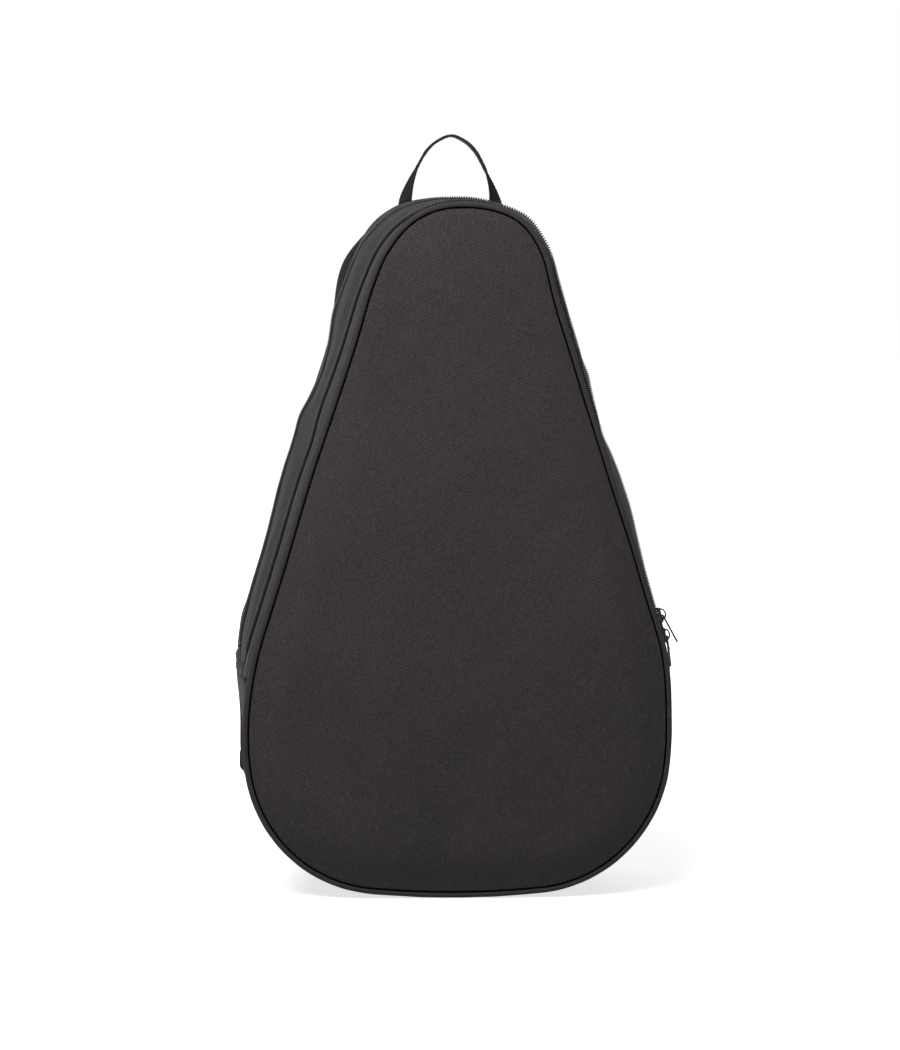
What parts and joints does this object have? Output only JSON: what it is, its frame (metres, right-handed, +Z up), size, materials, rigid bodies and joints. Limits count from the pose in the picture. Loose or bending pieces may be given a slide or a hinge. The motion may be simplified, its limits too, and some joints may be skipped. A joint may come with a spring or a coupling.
{
  "type": "paddle case",
  "caption": "Teardrop cloth backpack that holds one paddle, with a coil-zipped main compartment, a front pocket, side pockets, padded straps and a webbing grab handle.",
  "frame": {"origin": "middle of the flat sole, on the surface the bag stands on", "axes": "+Z up towards the grab handle, -Y towards the front panel, +X to the right of someone looking at the front"},
  "size_m": [0.2946, 0.1293, 0.499],
  "materials": {
    "panel_cloth": "matt fine diagonal weave",
    "piping_cloth": "matt woven, over a round cord",
    "gusset_cloth": "matt fine weave",
    "lining_cloth": "smooth thin lining",
    "foam": "matt closed cell",
    "zip_tape": "flat knitted",
    "zip_coil": "semi matt",
    "zip_metal": "black enamel",
    "moulded_plastic": "fine texture",
    "strap_cloth": "matt weave, padded",
    "webbing": "ribbed webbing"
  },
  "bodies": {
    "case": {"back_foam": "foam", "back_lining": "lining_cloth", "back_panel": "panel_cloth", "divider_lower": "lining_cloth", "front_foam_lower": "foam", "front_gusset_ends": "gusset_cloth", "front_panel_lower": "panel_cloth", "front_piping_lower": "piping_cloth", "gusset_join_seams": "gusset_cloth", "lower_anchor_left": "webbing", "lower_anchor_right": "webbing", "lower_gusset": "gusset_cloth", "main_zip_coil_front_ends": "zip_coil", "main_zip_coil_rear": "zip_coil", "main_zip_stops": "zip_metal", "main_zip_tape_front_ends": "zip_tape", "main_zip_tape_rear": "zip_tape", "pocket_zip_coil_ends": "zip_coil", "pocket_zip_stops": "zip_metal", "pocket_zip_tape_ends": "zip_tape", "rear_gusset": "gusset_cloth", "rear_piping": "piping_cloth", "side_pocket_hem_left": "gusset_cloth", "side_pocket_hem_right": "gusset_cloth", "side_pocket_left": "gusset_cloth", "side_pocket_right": "gusset_cloth", "strap_webbing_left": "webbing", "strap_webbing_right": "webbing", "strap_yoke": "gusset_cloth"},
    "front_flap": {"divider_upper": "lining_cloth", "front_foam_upper": "foam", "front_gusset": "gusset_cloth", "front_panel_upper": "panel_cloth", "front_piping_upper": "piping_cloth", "main_zip_coil_front": "zip_coil", "main_zip_tape_front": "zip_tape", "pocket_zip_coil_inner": "zip_coil", "pocket_zip_coil_outer": "zip_coil", "pocket_zip_tape_inner": "zip_tape", "pocket_zip_tape_outer": "zip_tape"},
    "main_slider_upper_body": {"main_slider_upper": "zip_metal"},
    "main_pull_upper_body": {"main_pull_upper": "zip_metal"},
    "main_slider_lower_body": {"main_slider_lower": "zip_metal"},
    "main_pull_lower_body": {"main_pull_lower": "zip_metal"},
    "pocket_slider_body": {"pocket_slider": "zip_metal"},
    "pocket_pull_body": {"pocket_pull": "zip_metal"},
    "handle": {"grab_handle": "webbing"},
    "strap_left": {"shoulder_strap_left": "strap_cloth", "ladder_lock_left": "moulded_plastic", "strap_tail_left": "webbing"},
    "strap_right": {"shoulder_strap_right": "strap_cloth", "ladder_lock_right": "moulded_plastic", "strap_tail_right": "webbing"}
  },
  "joints": [
    {"name": "flap_fold", "type": "hinge", "parent": "case", "child": "front_flap", "pos_m": [0, -0.0525, 0.19], "axis": [1, 0, 0], "range_deg": [0, 60]},
    {"name": "main_slider_upper_travel", "type": "slide", "parent": "case", "child": "main_slider_upper_body", "axis": [-0.2924, 0, 0.9563], "range_m": [0, 0.2]},
    {"name": "main_pull_upper_swing", "type": "hinge", "parent": "main_slider_upper_body", "child": "main_pull_upper_body", "pos_m": [0.14185, 0, 0.18041], "axis": [0, -1, 0], "range_deg": [0, 140]},
    {"name": "main_slider_lower_travel", "type": "slide", "parent": "case", "child": "main_slider_lower_body", "axis": [-0.1219, 0, 0.9925], "range_m": [-0.001, 0.0015]},
    {"name": "main_pull_lower_swing", "type": "hinge", "parent": "main_slider_lower_body", "child": "main_pull_lower_body", "pos_m": [0.1446, 0, 0.1664], "axis": [0, -1, 0], "range_deg": [0, 42]},
    {"name": "pocket_slider_travel", "type": "slide", "parent": "case", "child": "pocket_slider_body", "axis": [-0.2924, 0, 0.9563], "range_m": [-0.013, 0.19]},
    {"name": "pocket_pull_swing", "type": "hinge", "parent": "pocket_slider_body", "child": "pocket_pull_body", "pos_m": [0.13314, -0.042, 0.18241], "axis": [0, -1, 0], "range_deg": [0, 140]},
    {"name": "handle_flop", "type": "hinge", "parent": "case", "child": "handle", "pos_m": [0, 0.048, 0.4532], "axis": [1, 0, 0], "range_deg": [-60, 60]},
    {"name": "strap_left_swing", "type": "hinge", "parent": "case", "child": "strap_left", "pos_m": [-0.03, 0.0505, 0.4375], "axis": [1, 0, 0], "range_deg": [0, 18]},
    {"name": "strap_right_swing", "type": "hinge", "parent": "case", "child": "strap_right", "pos_m": [0.03, 0.0505, 0.4375], "axis": [1, 0, 0], "range_deg": [0, 18]}
  ]
}
